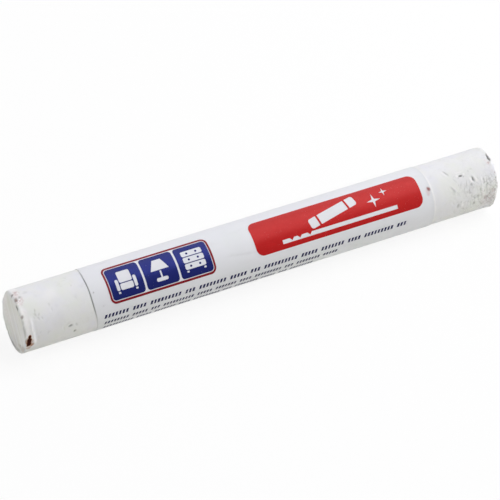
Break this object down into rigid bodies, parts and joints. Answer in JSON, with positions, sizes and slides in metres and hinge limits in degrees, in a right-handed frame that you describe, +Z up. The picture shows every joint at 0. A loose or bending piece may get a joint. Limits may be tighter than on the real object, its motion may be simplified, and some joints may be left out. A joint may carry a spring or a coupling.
{
  "type": "furniture repair wax stick",
  "caption": "Round stick of hard filler wax with a printed, self-adhesive label wrapped round its middle and bare wax at both ends.",
  "frame": {"origin": "on the surface that the stick lies on, below the middle of the stick", "axes": "+X along the stick towards its right-hand end, -Y towards the front, where the small print is, and +Z up"},
  "size_m": [0.1076, 0.0128, 0.0128],
  "materials": {
    "wax": "matte",
    "adhesive": "matte",
    "label_film": "satin",
    "navy_ink": "satin",
    "red_ink": "satin"
  },
  "bodies": {
    "root": {"wax_stick": "wax", "label_adhesive": "adhesive", "label_wrap": "label_film", "badge_tiles": "navy_ink", "badge_keyline": "red_ink", "banner_panel": "red_ink", "small_print": "navy_ink"}
  },
  "joints": []
}
